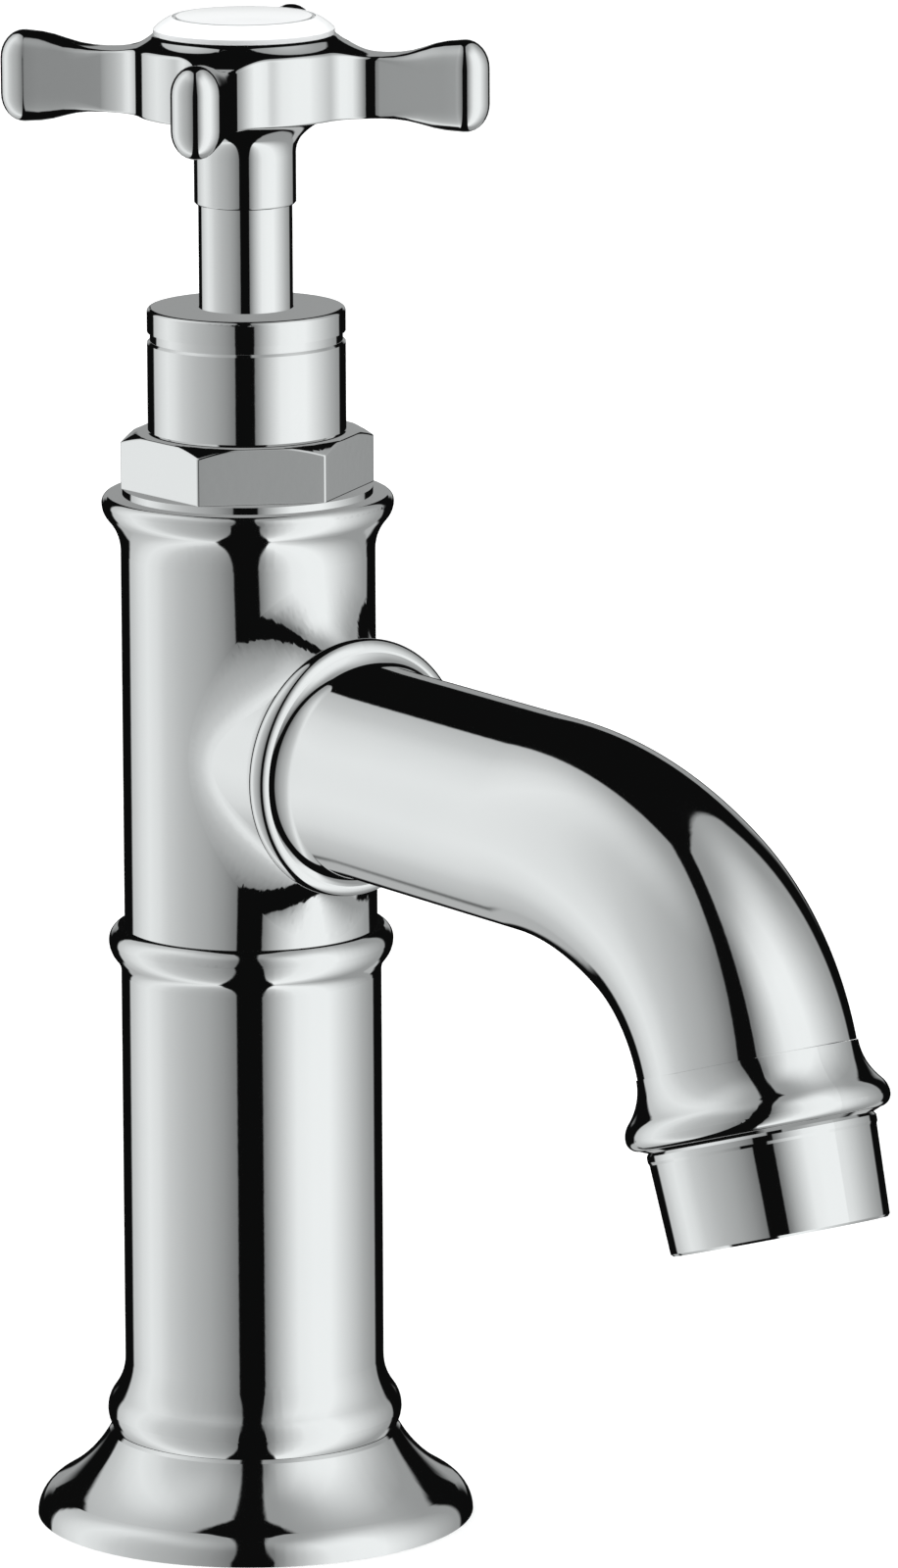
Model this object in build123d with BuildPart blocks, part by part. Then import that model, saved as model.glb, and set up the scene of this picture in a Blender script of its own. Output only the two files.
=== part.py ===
from build123d import *
import math
import os

# A pillar tap with a four-arm cross handle, in millimetres.
# The origin is the centre of the rose's underside, where it stands on the deck.
# +Z is up the tap's axis and the spout points towards -Y.

os.makedirs("parts", exist_ok=True)

# Clearances between pieces
running_clearance = 0.05
fit_clearance = 0.1
disc_clearance = 0.04

# Rose on the deck
rose_radius = 27.0
rose_height = 11.0
rose_neck_radius = 18.0
rose_shoulder_radius = 4.1
rose_shoulder_angle = 60.0
rose_neck_drop = 0.4
rose_cavity_radius = 17.5
rose_cavity_height = 5.0
base_seal_inset = 3.0
base_seal_width = 3.0
base_seal_depth = 1.6

# Lower pillar
pillar_radius = 16.0
pillar_top = 74.5
pillar_bore_radius = 12.5
pillar_spigot_radius = 13.0
foot_rise = 2.3
foot_bead_radius = 18.2
foot_edge_radius = 17.43
foot_cove_height = 6.54
foot_bead_share = 0.35
foot_web_height = 26.0
top_bead_radius = 17.5
top_bead_drop = 1.8
top_bead_edge_radius = 16.4
top_cove_height = 3.9
top_cove_share = 0.4

# Threaded tail, a parallel half-inch pipe thread drawn at its outer diameter
tail_radius = 10.4775
tail_length = 52.0
tail_top = 24.0
tail_bore_radius = 8.0
tail_bore_top = 10.0
tail_end_chamfer = 0.8
supply_thread_length = 15.5
relief_width = 1.6
relief_depth = 1.2

# Fixings under the deck
deck_thickness = 20.0
deck_seal_radius = 20.0
deck_seal_height = 3.0
backing_radius = 21.0
backing_height = 2.0
back_nut_flats = 28.0
back_nut_height = 8.0
back_nut_corner_drop = 1.2
nut_chamfer_angle = 30.0

# Water tube inside the pillar
riser_radius = 6.0
riser_bore_radius = 5.0
riser_bottom = 13.0
riser_top = 85.5
lower_riser_seal_height = 19.0
upper_riser_seal_height = 79.0

# Rubber O-rings
seal_section_radius = 0.9
groove_play = 0.3

# Upper body
body_radius = 15.55
body_top = 128.35
body_spigot_radius = 12.4
body_spigot_length = 10.0
body_bead_radius = 17.85
body_bead_drop = 1.05
body_bead_edge_radius = 17.2
body_cove_height = 6.0
body_cove_share = 0.67
body_seal_drop = 4.5
valve_seat_height = 93.0
seat_port_radius = 5.0
valve_chamber_radius = 10.6
bonnet_socket_radius = 13.0
bonnet_socket_bottom = 116.5

# Spout root, measured along the spout's axis from the tap's axis
spout_height = 98.0
spout_fall_angle = 1.4
boss_radius = 13.4
boss_length = 19.8
boss_cove_length = 2.8
boss_edge_radius = 14.9
boss_blend_radius = 9.0
outlet_port_radius = 7.0
spigot_radius = 9.8
spigot_start = 13.0
spout_seal_place = 16.4
collar_radius = 15.87
collar_width = 2.9
collar_step_radius = 14.7

# Spout tube
spout_radius = 13.0
spout_bore_radius = 10.5
root_radius = 14.4
root_cove_length = 2.4
root_wall = 3.0
spout_straight_end = 59.0
first_bend_radius = 51.0
first_bend_angle = 28.1
second_bend_radius = 26.6
second_bend_angle = 43.4

# Outlet pieces, measured along the outlet's axis from the tube's end
ferrule_radius = 13.15
ferrule_length = 8.6
ferrule_bead_radius = 15.7
ferrule_bead_place = 6.7
ferrule_cove_share = 0.72
ferrule_bead_edge_radius = 14.3
ferrule_bead_edge_place = 8.2
ferrule_spigot_length = 2.5
ferrule_spigot_clearance = 0.15
ferrule_bore_radius = 8.8
aerator_thread_radius = 12.0
aerator_thread_start = 3.0
washer_height = 1.5
outlet_length = 20.9
housing_radius = 13.6
housing_step_radius = 13.35
housing_step = 0.35
housing_band = 0.7
housing_end_radius = 12.98
housing_bore_radius = 11.0
housing_lip_radius = 10.2
housing_lip_height = 1.5
housing_edge = 0.3
insert_wall = 1.3
insert_plate_place = 8.5
insert_plate_height = 2.0
jet_radius = 0.6
jet_rings = ((6, 3.6), (12, 7.2))
screen_height = 2.0
screen_cell = 1.6
screen_web = 0.35

# Hexagon, washer and covers above the body
bonnet_washer_radius = 15.3
bonnet_washer_height = 0.85
bonnet_nut_flats = 27.0
bonnet_nut_height = 6.8
bonnet_nut_corner_drop = 1.0
bonnet_thread_length = 10.2
bonnet_neck_radius = 11.0
bonnet_neck_height = 5.0
cover_radius = 12.1
cover_height = 11.3
cover_edge = 0.3
cap_groove_radius = 11.75
cap_groove_height = 1.1
cap_height = 2.9
cap_edge = 0.5
cap_spigot_radius = 10.95
cap_spigot_length = 3.8
cap_cavity_radius = 9.7
cap_plate = 4.0

# Valve cartridge
cartridge_radius = 9.4
cartridge_disc_bore_radius = 8.1
cartridge_collar_radius = 12.8
cartridge_collar_height = 2.5
cartridge_lift = 0.5
cartridge_top = 143.0
cartridge_roof_height = 107.2
disc_radius = 8.0
disc_height = 3.0
seat_seal_height = 2.5
seat_seal_hole_radius = 5.0
port_angle = 80.0
port_inner_radius = 2.2
port_outer_radius = 6.9
window_angle = 60.0
window_height = 5.5
driver_width = 5.0
driver_length = 14.0
driver_depth = 1.5
spindle_flange_radius = 7.9
spindle_flange_height = 3.0
spindle_radius = 4.5
lower_spindle_seal_height = 124.0
upper_spindle_seal_height = 131.0
clip_height = 1.0
clip_radius = 6.6
clip_groove_depth = 0.6
spline_radius = 4.0
spline_teeth = 20
spline_tooth_depth = 0.4
screw_hole_depth = 13.0

# Sleeve round the spindle
sleeve_radius = 5.72

# Cross handle, its outline turned about the tap's axis
socket_bottom = 164.0
socket_radius = 6.2
socket_edge = 0.3
flare_start = 170.2
flare_middle = (7.15, 172.55)
flare_end_radius = 13.0
hub_radius = 13.3
hub_rim_radius = 11.1
hub_rim_height = 184.7
hub_slope_end = 16.3
waist_top = 182.6
waist_bottom = 175.05
tip_top = 184.6
tip_bottom = 173.4
tip_reach = 27.0

# Arms of the cross handle, seen in plan and along their own axis
handle_angle = 40.5
arm_count = 4
arm_reach = 30.2
arm_middle_height = 179.0
arm_end_radius = 3.0
web_radius = 6.0
waist_half_width = 2.6
root_round_radius = 9.0
waist_round_radius = 4.7
tip_round_radius = 5.72

# Pockets in the hub
screw_pocket_radius = 6.0
screw_pocket_bottom = 176.0
button_pocket_radius = 9.1
button_pocket_bottom = 181.0

# Handle screw
screw_radius = 2.1
screw_head_radius = 4.2
screw_head_height = 2.6
screw_head_edge = 0.4
screw_length = 11.0
screw_drive_radius = 1.7
screw_drive_depth = 1.5

# Porcelain disc
button_radius = 11.0
button_lift = 0.1
button_rim_height = 0.6
button_bevel_rise = 1.45
button_bevel_fall = 0.45
button_shoulder_radius = 8.9
button_dome_rise = 0.3
button_skirt_radius = 8.95
button_seal_lift = 1.9
button_line_radius = 8.7
button_line_width = 0.45
button_line_depth = 0.25

# Sizes that follow from the sizes above
base_seal_outer_radius = rose_radius - base_seal_inset
base_seal_inner_radius = base_seal_outer_radius - base_seal_width
supply_thread_top = -tail_length + tail_end_chamfer + supply_thread_length
backing_top = -deck_thickness - deck_seal_height
back_nut_top = backing_top - backing_height
bonnet_nut_bottom = body_top + bonnet_washer_height
bonnet_nut_top = bonnet_nut_bottom + bonnet_nut_height
cover_top = bonnet_nut_top + cover_height
cap_top = cover_top + cap_groove_height + cap_height
fixed_disc_bottom = valve_seat_height + seat_seal_height
rotating_disc_bottom = fixed_disc_bottom + disc_height + disc_clearance
rotating_disc_top = rotating_disc_bottom + disc_height
spindle_flange_bottom = cartridge_roof_height - running_clearance - spindle_flange_height
clip_bottom = cartridge_top + running_clearance
sleeve_bottom = clip_bottom + clip_height
spindle_top = screw_pocket_bottom - fit_clearance
collar_start = boss_length
collar_end = boss_length + collar_width
washer_end = aerator_thread_start + washer_height
screen_end = outlet_length - housing_lip_height
screen_start = screen_end - screen_height
waist_reach = math.sqrt((hub_radius + web_radius) ** 2 - (waist_half_width + web_radius) ** 2)


def ring(inner_radius, outer_radius, bottom, top):
    """A plain ring about the tap's axis, between two heights."""
    with BuildPart() as made:
        with BuildSketch(Plane.XY.offset(bottom)):
            Circle(outer_radius)
            Circle(inner_radius, mode=Mode.SUBTRACT)
        extrude(amount=top - bottom)
    return made.part


def disc(radius, bottom, top):
    """A plain round disc about the tap's axis, between two heights."""
    with BuildPart() as made:
        with BuildSketch(Plane.XY.offset(bottom)):
            Circle(radius)
        extrude(amount=top - bottom)
    return made.part


def o_ring(hole_radius, height):
    """A round rubber ring that lies inside a hole, at a height on the tap's axis."""
    with BuildPart() as made:
        with BuildSketch(Plane.XZ):
            with Locations((hole_radius - seal_section_radius, height)):
                Circle(seal_section_radius)
        revolve(axis=Axis.Z)
    return made.part


def shaft_groove(hole_radius, height):
    """The square groove in a shaft that an O-ring of the same hole and height lies in."""
    half = seal_section_radius + groove_play / 2
    floor = hole_radius - 2 * seal_section_radius
    return ring(floor, hole_radius + groove_play, height - half, height + half)


def socket_groove(shaft_radius, height):
    """The square groove in a socket's wall round a shaft."""
    half = seal_section_radius + groove_play / 2
    floor = shaft_radius + 2 * seal_section_radius
    return ring(shaft_radius - groove_play, floor, height - half, height + half)


def between(start, end, share):
    """The point on the straight line from start to end at a share of its length."""
    return (start[0] + (end[0] - start[0]) * share, start[1] + (end[1] - start[1]) * share)


def turned_hexagon(flats, plain_end, turned_end, corner_drop):
    """A hexagon nut blank between two heights, its corners turned down to a cone at one end."""
    corner_radius = flats / 2 / math.cos(math.radians(30))
    flat_end_radius = corner_radius - corner_drop / math.tan(math.radians(nut_chamfer_angle))
    corner_height = turned_end + math.copysign(corner_drop, plain_end - turned_end)
    with BuildPart() as made:
        with BuildSketch(Plane.XY.offset(plain_end)):
            RegularPolygon(corner_radius, 6, rotation=30)
        extrude(amount=turned_end - plain_end)
        with BuildSketch(Plane.XZ):
            with BuildLine():
                Polyline(
                    (0, plain_end),
                    (corner_radius, plain_end),
                    (corner_radius, corner_height),
                    (flat_end_radius, turned_end),
                    (0, turned_end),
                    close=True,
                )
            make_face()
        revolve(axis=Axis.Z, mode=Mode.INTERSECT)
    return made.part


# Rose: a turned bell with a convex shoulder and a concave sweep up to the pillar's foot
rose_neck_height = rose_height - rose_neck_drop
with BuildPart() as base_flange:
    with BuildSketch(Plane.XZ):
        with BuildLine():
            Line((0, 0), (rose_radius, 0))
            shoulder = CenterArc(
                (rose_radius - rose_shoulder_radius, 0), rose_shoulder_radius, 0, rose_shoulder_angle
            )
            sweep_up = TangentArc(
                shoulder @ 1, (rose_neck_radius, rose_neck_height), tangent=shoulder % 1
            )
            Line(sweep_up @ 1, (rose_neck_radius - rose_neck_drop, rose_height))
            Line((rose_neck_radius - rose_neck_drop, rose_height), (0, rose_height))
            Line((0, rose_height), (0, 0))
        make_face()
    revolve(axis=Axis.Z)
    add(disc(pillar_spigot_radius + fit_clearance, 0, rose_height), mode=Mode.SUBTRACT)
    add(disc(rose_cavity_radius, 0, rose_cavity_height), mode=Mode.SUBTRACT)
    add(
        ring(base_seal_inner_radius, base_seal_outer_radius, 0, base_seal_depth),
        mode=Mode.SUBTRACT,
    )
base_flange.part.label = "base_flange"

# Rubber ring in the rose's underside, flush with the deck
with BuildPart() as base_seal:
    add(
        ring(
            base_seal_inner_radius + fit_clearance,
            base_seal_outer_radius - fit_clearance,
            0,
            base_seal_depth,
        )
    )
base_seal.part.label = "base_seal"

# Lower pillar: a turned tube with a bulged foot, a beaded top and a web that takes the tail
foot_bead_height = rose_height + foot_rise
top_bead_height = pillar_top - top_bead_drop
foot_cove_end = (pillar_radius, foot_bead_height + foot_cove_height)
top_cove_start = (pillar_radius, top_bead_height - top_cove_height)
with BuildPart() as pillar_post:
    with BuildSketch(Plane.XZ):
        with BuildLine():
            Line((0, rose_height), (foot_edge_radius, rose_height))
            foot_bead = (foot_bead_radius, foot_bead_height)
            foot_middle = between(foot_bead, foot_cove_end, foot_bead_share)
            # the foot's lower half bulges out to the bead, and its upper half is an S-curve
            lower_foot = TangentArc(foot_bead, (foot_edge_radius, rose_height), tangent=(0, -1))
            upper_foot = TangentArc(foot_bead, foot_middle, tangent=(0, 1))
            foot_cove = TangentArc(foot_middle, foot_cove_end, tangent=upper_foot % 1)
            Line(foot_cove @ 1, top_cove_start)
            top_bead = (top_bead_radius, top_bead_height)
            top_middle = between(top_cove_start, top_bead, top_cove_share)
            top_cove = TangentArc(top_cove_start, top_middle, tangent=(0, 1))
            lower_bead = TangentArc(top_middle, top_bead, tangent=top_cove % 1)
            upper_bead = TangentArc(top_bead, (top_bead_edge_radius, pillar_top), tangent=(0, 1))
            Line(upper_bead @ 1, (0, pillar_top))
            Line((0, pillar_top), (0, rose_height))
        make_face()
    revolve(axis=Axis.Z)
    add(disc(pillar_spigot_radius, rose_cavity_height, rose_height))
    add(disc(tail_radius + fit_clearance, rose_cavity_height, foot_web_height), mode=Mode.SUBTRACT)
    add(disc(pillar_bore_radius, foot_web_height, pillar_top), mode=Mode.SUBTRACT)
pillar_post.part.label = "pillar_post"

# Tail: a hollow threaded shank, screwed into the pillar's foot and reaching through the deck
relief_top = supply_thread_top + relief_width
with BuildPart() as tail_shank:
    add(disc(tail_radius, -tail_length, tail_top))
    chamfer(tail_shank.edges().group_by(Axis.Z)[0], tail_end_chamfer)
    add(
        ring(tail_radius - relief_depth, tail_radius + fit_clearance, supply_thread_top, relief_top),
        mode=Mode.SUBTRACT,
    )
    add(disc(tail_bore_radius, -tail_length, tail_bore_top), mode=Mode.SUBTRACT)
    add(disc(riser_bore_radius, tail_bore_top, riser_bottom), mode=Mode.SUBTRACT)
    add(disc(riser_radius + fit_clearance, riser_bottom, tail_top), mode=Mode.SUBTRACT)
    add(socket_groove(riser_radius + fit_clearance, lower_riser_seal_height), mode=Mode.SUBTRACT)
tail_shank.part.label = "tail_shank"

# Rubber washer, steel washer and back nut, clamped under the deck
with BuildPart() as deck_seal_washer:
    add(ring(tail_radius + fit_clearance, deck_seal_radius, backing_top, -deck_thickness))
deck_seal_washer.part.label = "deck_seal_washer"

with BuildPart() as deck_backing_washer:
    add(ring(tail_radius + fit_clearance, backing_radius, back_nut_top, backing_top))
deck_backing_washer.part.label = "deck_backing_washer"

with BuildPart() as back_nut:
    back_nut_bottom = back_nut_top - back_nut_height
    add(turned_hexagon(back_nut_flats, back_nut_top, back_nut_bottom, back_nut_corner_drop))
    add(disc(tail_radius + fit_clearance, back_nut_bottom, back_nut_top), mode=Mode.SUBTRACT)
back_nut.part.label = "back_nut"

# Water tube and the O-ring at each of its ends
with BuildPart() as riser_tube:
    add(ring(riser_bore_radius, riser_radius, riser_bottom, riser_top))
riser_tube.part.label = "riser_tube"

riser_seal_hole = riser_radius + 2 * seal_section_radius
with BuildPart() as riser_seals:
    add(o_ring(riser_seal_hole, lower_riser_seal_height))
    add(o_ring(riser_seal_hole, upper_riser_seal_height))
riser_seals.part.label = "riser_seals"

# Upper body: a turned barrel with a beaded mouth, and a boss that flares to the spout's collar
spout_side = Plane(
    origin=(0, 0, spout_height),
    x_dir=(0, -math.cos(math.radians(spout_fall_angle)), -math.sin(math.radians(spout_fall_angle))),
    z_dir=(-1, 0, 0),
)
spout_axis = Axis(spout_side.origin, spout_side.x_dir)
spout_face = Plane(origin=spout_side.origin, x_dir=(1, 0, 0), z_dir=spout_side.x_dir)


def spout_ring(inner_radius, outer_radius, start, end):
    """A plain ring about the spout's straight axis, between two distances from the tap's axis."""
    with BuildPart() as made:
        with BuildSketch(spout_face.offset(start)):
            Circle(outer_radius)
            if inner_radius > 0:
                Circle(inner_radius, mode=Mode.SUBTRACT)
        extrude(amount=end - start)
    return made.part


body_bead_height = body_top - body_bead_drop
body_bead = (body_bead_radius, body_bead_height)
body_cove_start = (body_radius, body_bead_height - body_cove_height)
boss_cove_start = boss_length - boss_cove_length
with BuildPart() as body_tee:
    add(disc(body_radius, pillar_top, body_cove_start[1]))
    # the boss starts longer than it ends, so that its blend runs on to the collar
    long_boss_length = body_radius + 2 * boss_blend_radius
    add(spout_ring(0, boss_radius, 0, long_boss_length))
    fillet(body_tee.edges().filter_by(GeomType.BSPLINE), boss_blend_radius)
    blend_reach = boss_radius + 2 * boss_blend_radius
    add(spout_ring(0, blend_reach, boss_length, long_boss_length), mode=Mode.SUBTRACT)
    with BuildSketch(spout_side):
        with BuildLine():
            cove = TangentArc(
                (boss_cove_start, boss_radius), (boss_length, boss_edge_radius), tangent=(1, 0)
            )
            Polyline(
                cove @ 1,
                (boss_length, 0),
                (boss_cove_start, 0),
                cove @ 0,
            )
        make_face()
    revolve(axis=spout_axis)
    with BuildSketch(Plane.XZ):
        with BuildLine():
            body_middle = between(body_cove_start, body_bead, body_cove_share)
            body_cove = TangentArc(body_cove_start, body_middle, tangent=(0, 1))
            lower_bead = TangentArc(body_middle, body_bead, tangent=body_cove % 1)
            upper_bead = TangentArc(body_bead, (body_bead_edge_radius, body_top), tangent=(0, 1))
            Polyline(
                upper_bead @ 1,
                (0, body_top),
                (0, body_cove_start[1]),
                body_cove_start,
            )
        make_face()
    revolve(axis=Axis.Z)
    spigot_bottom = pillar_top - body_spigot_length
    body_seal_height = pillar_top - body_seal_drop
    add(disc(body_spigot_radius, spigot_bottom, pillar_top))
    add(shaft_groove(pillar_bore_radius, body_seal_height), mode=Mode.SUBTRACT)
    add(disc(riser_radius + fit_clearance, spigot_bottom, riser_top + fit_clearance), mode=Mode.SUBTRACT)
    add(socket_groove(riser_radius + fit_clearance, upper_riser_seal_height), mode=Mode.SUBTRACT)
    add(disc(seat_port_radius, riser_top, valve_seat_height), mode=Mode.SUBTRACT)
    add(disc(valve_chamber_radius, valve_seat_height, bonnet_socket_bottom), mode=Mode.SUBTRACT)
    add(disc(bonnet_socket_radius, bonnet_socket_bottom, body_top), mode=Mode.SUBTRACT)
    add(
        spout_ring(0, outlet_port_radius, cartridge_radius, spigot_start),
        mode=Mode.SUBTRACT,
    )
    add(spout_ring(0, spigot_radius + fit_clearance, spigot_start, boss_length), mode=Mode.SUBTRACT)
body_tee.part.label = "body_tee"

with BuildPart() as body_seal:
    add(o_ring(pillar_bore_radius, body_seal_height))
body_seal.part.label = "body_seal"

# Collar at the spout's root: a half-round bead between the boss and the tube
collar_middle = (collar_start + collar_end) / 2
with BuildPart() as spout_collar:
    with BuildSketch(spout_side):
        with BuildLine():
            ThreePointArc(
                (collar_start, collar_step_radius),
                (collar_middle, collar_radius),
                (collar_end, collar_step_radius),
            )
            Polyline(
                (collar_end, collar_step_radius),
                (collar_end, spigot_radius + fit_clearance),
                (collar_start, spigot_radius + fit_clearance),
                (collar_start, collar_step_radius),
            )
        make_face()
    revolve(axis=spout_axis)
spout_collar.part.label = "spout_collar"

# Spout: a bent tube with a coved root, and a spigot that goes through the collar into the boss
bore_start = collar_end + root_wall
with BuildPart() as spout_tube:
    with BuildLine(spout_side) as spout_path:
        straight = Line((collar_end, 0), (spout_straight_end, 0))
        first_bend = JernArc(
            straight @ 1, straight % 1, first_bend_radius, -first_bend_angle
        )
        second_bend = JernArc(
            first_bend @ 1, first_bend % 1, second_bend_radius, -second_bend_angle
        )
    with BuildSketch(Plane(origin=straight @ 0, x_dir=(1, 0, 0), z_dir=straight % 0)):
        Circle(spout_radius)
    sweep(path=spout_path.wires()[0])
    with BuildSketch(spout_side):
        with BuildLine():
            root_cove = TangentArc(
                (collar_end + root_cove_length, spout_radius), (collar_end, root_radius), tangent=(-1, 0)
            )
            Polyline(
                root_cove @ 1,
                (collar_end, spigot_radius),
                (collar_end + root_cove_length, spigot_radius),
                root_cove @ 0,
            )
        make_face()
    revolve(axis=spout_axis)
    add(spout_ring(0, spigot_radius, spigot_start, collar_end))
    with BuildLine(spout_side) as bore_path:
        bore_straight = Line((bore_start, 0), (spout_straight_end, 0))
        bore_first_bend = JernArc(
            bore_straight @ 1, bore_straight % 1, first_bend_radius, -first_bend_angle
        )
        JernArc(
            bore_first_bend @ 1, bore_first_bend % 1, second_bend_radius, -second_bend_angle
        )
    with BuildSketch(Plane(origin=bore_straight @ 0, x_dir=(1, 0, 0), z_dir=bore_straight % 0)):
        Circle(spout_bore_radius)
    sweep(path=bore_path.wires()[0], mode=Mode.SUBTRACT)
    add(spout_ring(0, outlet_port_radius, spigot_start, bore_start), mode=Mode.SUBTRACT)
    half_groove = seal_section_radius + groove_play / 2
    spout_seal_inner = spigot_radius + fit_clearance - 2 * seal_section_radius
    add(
        spout_ring(
            spout_seal_inner,
            spigot_radius + fit_clearance,
            spout_seal_place - half_groove,
            spout_seal_place + half_groove,
        ),
        mode=Mode.SUBTRACT,
    )
spout_tube.part.label = "spout_tube"

with BuildPart() as spout_seal:
    with BuildSketch(spout_side):
        with Locations((spout_seal_place, spout_seal_inner + seal_section_radius)):
            Circle(seal_section_radius)
    revolve(axis=spout_axis)
spout_seal.part.label = "spout_seal"

# The outlet's own axis, where the tube ends
outlet_side = Plane(origin=second_bend @ 1, x_dir=second_bend % 1, z_dir=(-1, 0, 0))
outlet_axis = Axis(outlet_side.origin, outlet_side.x_dir)
outlet_face = Plane(origin=outlet_side.origin, x_dir=(1, 0, 0), z_dir=outlet_side.x_dir)


def outlet_ring(inner_radius, outer_radius, start, end):
    """A plain ring about the outlet's axis, between two distances from the tube's end."""
    with BuildPart() as made:
        with BuildSketch(outlet_face.offset(start)):
            Circle(outer_radius)
            if inner_radius > 0:
                Circle(inner_radius, mode=Mode.SUBTRACT)
        extrude(amount=end - start)
    return made.part


# Ferrule: a coved collar with a bead, soldered into the tube's end
with BuildPart() as spout_ferrule:
    with BuildSketch(outlet_side):
        with BuildLine():
            ferrule_start = (0, ferrule_radius)
            ferrule_bead = (ferrule_bead_place, ferrule_bead_radius)
            ferrule_middle = between(ferrule_start, ferrule_bead, ferrule_cove_share)
            ferrule_cove = TangentArc(ferrule_start, ferrule_middle, tangent=(1, 0))
            upper_nose = TangentArc(ferrule_middle, ferrule_bead, tangent=ferrule_cove % 1)
            lower_nose = TangentArc(
                ferrule_bead, (ferrule_bead_edge_place, ferrule_bead_edge_radius), tangent=(1, 0)
            )
            Polyline(
                lower_nose @ 1,
                (ferrule_length, housing_step_radius),
                (ferrule_length, 0),
                (0, 0),
                ferrule_start,
            )
        make_face()
    revolve(axis=outlet_axis)
    add(outlet_ring(0, spout_bore_radius - ferrule_spigot_clearance, -ferrule_spigot_length, 0))
    add(
        outlet_ring(0, ferrule_bore_radius, -ferrule_spigot_length, aerator_thread_start),
        mode=Mode.SUBTRACT,
    )
    add(
        outlet_ring(0, aerator_thread_radius, aerator_thread_start, ferrule_length),
        mode=Mode.SUBTRACT,
    )
spout_ferrule.part.label = "spout_ferrule"

# Aerator: a turned housing screwed into the ferrule, with its washer, jet former and screen
with BuildPart() as aerator_housing:
    with BuildSketch(outlet_side):
        with BuildLine():
            Polyline(
                (ferrule_length, 0),
                (ferrule_length, housing_step_radius),
                (ferrule_length + housing_step, housing_radius),
                (ferrule_length + housing_step + housing_band, housing_radius),
                (ferrule_length + 2 * housing_step + housing_band, housing_step_radius + fit_clearance),
                (outlet_length - housing_edge, housing_end_radius),
                (outlet_length, housing_end_radius - housing_edge),
                (outlet_length, 0),
                close=True,
            )
        make_face()
    revolve(axis=outlet_axis)
    add(outlet_ring(0, aerator_thread_radius - fit_clearance, washer_end, ferrule_length))
    add(outlet_ring(0, housing_bore_radius, washer_end, screen_end), mode=Mode.SUBTRACT)
    add(outlet_ring(0, housing_lip_radius, screen_end, outlet_length), mode=Mode.SUBTRACT)
aerator_housing.part.label = "aerator_housing"

with BuildPart() as aerator_washer:
    add(
        outlet_ring(
            ferrule_bore_radius,
            aerator_thread_radius - fit_clearance,
            aerator_thread_start,
            washer_end,
        )
    )
aerator_washer.part.label = "aerator_washer"

insert_radius = housing_bore_radius - fit_clearance
with BuildPart() as aerator_insert:
    add(outlet_ring(insert_radius - insert_wall, insert_radius, washer_end, screen_start))
    add(outlet_ring(0, insert_radius, insert_plate_place, insert_plate_place + insert_plate_height))
    with BuildSketch(outlet_face.offset(insert_plate_place)):
        for count, radius in jet_rings:
            with PolarLocations(radius, count):
                Circle(jet_radius)
    extrude(amount=insert_plate_height, mode=Mode.SUBTRACT)
aerator_insert.part.label = "aerator_insert"

screen_hole_limit = insert_radius - insert_wall
screen_cell_count = 2 * math.ceil(screen_hole_limit / screen_cell) + 1
with BuildPart() as aerator_screen:
    add(outlet_ring(0, insert_radius, screen_start, screen_end))
    with BuildSketch(outlet_face.offset(screen_start)):
        with HexLocations(screen_cell / math.sqrt(3), screen_cell_count, screen_cell_count):
            RegularPolygon((screen_cell - screen_web) / math.sqrt(3), 6)
        Circle(screen_hole_limit, mode=Mode.INTERSECT)
    extrude(amount=screen_height, mode=Mode.SUBTRACT)
aerator_screen.part.label = "aerator_screen"

# Thin ring and hexagon that clamp the valve cartridge into the body
bonnet_thread_radius = bonnet_socket_radius - fit_clearance
bonnet_thread_bottom = bonnet_nut_bottom - bonnet_thread_length
with BuildPart() as bonnet_washer:
    add(ring(bonnet_thread_radius + fit_clearance, bonnet_washer_radius, body_top, bonnet_nut_bottom))
bonnet_washer.part.label = "bonnet_washer"

with BuildPart() as bonnet_nut:
    add(turned_hexagon(bonnet_nut_flats, bonnet_nut_bottom, bonnet_nut_top, bonnet_nut_corner_drop))
    add(disc(bonnet_thread_radius, bonnet_thread_bottom, bonnet_nut_bottom))
    add(disc(bonnet_neck_radius, bonnet_nut_top, bonnet_nut_top + bonnet_neck_height))
    add(
        disc(
            cartridge_radius + fit_clearance, bonnet_thread_bottom, bonnet_nut_top + bonnet_neck_height
        ),
        mode=Mode.SUBTRACT,
    )
bonnet_nut.part.label = "bonnet_nut"

# Cylindrical cover screwed on the hexagon's neck, and the cap that closes it
with BuildPart() as bonnet_sleeve:
    add(ring(bonnet_neck_radius + fit_clearance, cover_radius, bonnet_nut_top, cover_top))
    chamfer(
        bonnet_sleeve.edges().filter_by(GeomType.CIRCLE).sort_by(SortBy.RADIUS)[-2:], cover_edge
    )
bonnet_sleeve.part.label = "bonnet_sleeve"

groove_top = cover_top + cap_groove_height
with BuildPart() as bonnet_cap:
    with BuildSketch(Plane.XZ):
        with BuildLine():
            Polyline(
                (0, cover_top - cap_spigot_length),
                (cap_spigot_radius, cover_top - cap_spigot_length),
                (cap_spigot_radius, cover_top),
                (cap_groove_radius, cover_top),
                (cap_groove_radius, groove_top),
                (cover_radius, groove_top),
                (cover_radius, cap_top),
                (0, cap_top),
                close=True,
            )
        make_face()
    revolve(axis=Axis.Z)
    fillet(bonnet_cap.edges().group_by(Axis.Z)[-1], cap_edge)
    add(
        disc(cap_cavity_radius, cover_top - cap_spigot_length, cap_top - cap_plate),
        mode=Mode.SUBTRACT,
    )
    add(disc(sleeve_radius + running_clearance, cap_top - cap_plate, cap_top), mode=Mode.SUBTRACT)
bonnet_cap.part.label = "bonnet_cap"

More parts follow.
